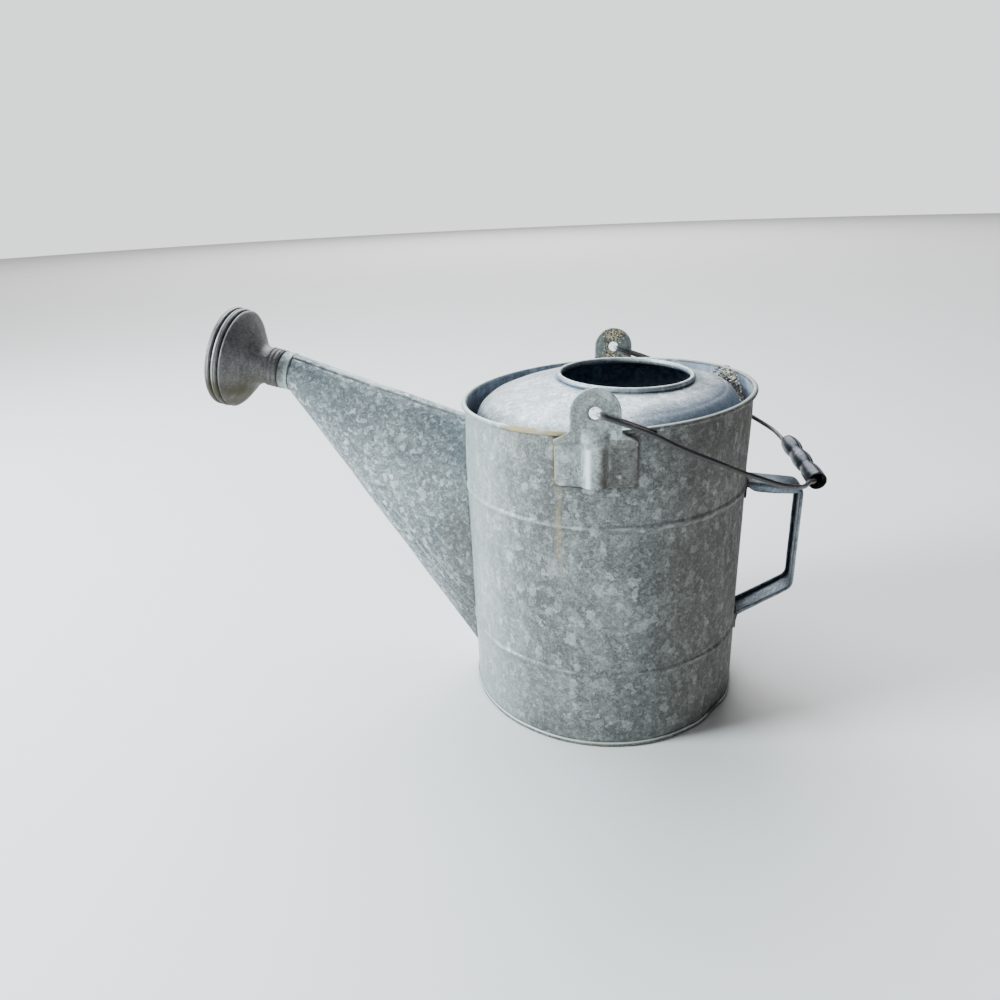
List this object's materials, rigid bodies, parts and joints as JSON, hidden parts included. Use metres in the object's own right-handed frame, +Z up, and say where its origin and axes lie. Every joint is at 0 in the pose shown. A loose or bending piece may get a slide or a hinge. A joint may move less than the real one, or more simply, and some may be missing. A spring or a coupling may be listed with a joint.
{
  "type": "galvanised watering can",
  "caption": "Weathered galvanised watering can: round hooded body, tapered spout with a push-on rose, rear strap handle and a swinging wire bail with a loose grip.",
  "frame": {"origin": "middle of the whole object's outline on the ground, below the can's wall on the handle side of the spout", "axes": "+Z up, the spout towards -X, the rear handle and the hanging bail towards +X, one ear at each of -Y and +Y"},
  "size_m": [0.5282, 0.2574, 0.3499],
  "materials": {
    "weathered_galvanised_sheet": "galvanised steel sheet with zinc spangle, weathered, streaked with yellow rust stain",
    "rim_wire_steel": "steel wire inside the rolled rim",
    "base_galvanised_sheet": "galvanised sheet, scuffed and dirty at the seam",
    "pale_galvanised_hood": "pale weathered galvanised sheet with debris in the channel",
    "spout_galvanised_sheet": "galvanised sheet with pale spangle and creases",
    "handle_galvanised_strap": "bluish grey galvanised strap with rolled edges",
    "ear_galvanised_plate": "pressed galvanised plate, lichen and dirt on one",
    "ferrule_galvanised_sheet": "galvanised sheet",
    "dull_rose_zinc": "dull warm grey zinc, greenish brown at the bottom",
    "rusty_bail_wire": "dark steel wire with patches of brown rust",
    "dark_grip_zinc": "dark bluish sheet rolled to a loose grip"
  },
  "bodies": {
    "can": {"body_wall": "weathered_galvanised_sheet", "rim_wire": "rim_wire_steel", "base_pan": "base_galvanised_sheet", "hood": "pale_galvanised_hood", "spout": "spout_galvanised_sheet", "spout_ferrule": "ferrule_galvanised_sheet", "rear_handle": "handle_galvanised_strap", "ear_near": "ear_galvanised_plate", "ear_far": "ear_galvanised_plate"},
    "rose": {"rose_bell": "dull_rose_zinc", "rose_face": "dull_rose_zinc"},
    "bail": {"bail_wire": "rusty_bail_wire"},
    "grip": {"grip": "dark_grip_zinc"}
  },
  "joints": [
    {"name": "bail_hinge", "type": "hinge", "parent": "can", "child": "bail", "pos_m": [0.09031, 0.00014, 0.28862], "axis": [-0.0105, -0.9999, 0.0109], "range_deg": [0, 200]},
    {"name": "grip_spin", "type": "hinge", "parent": "bail", "child": "grip", "pos_m": [0.25694, -0.03946, 0.21218], "axis": [-0.1284, 0.9876, 0.0904], "continuous": true},
    {"name": "rose_pull", "type": "slide", "parent": "can", "child": "rose", "axis": [-0.969, 0, 0.247], "range_m": [0, 0.022]}
  ]
}
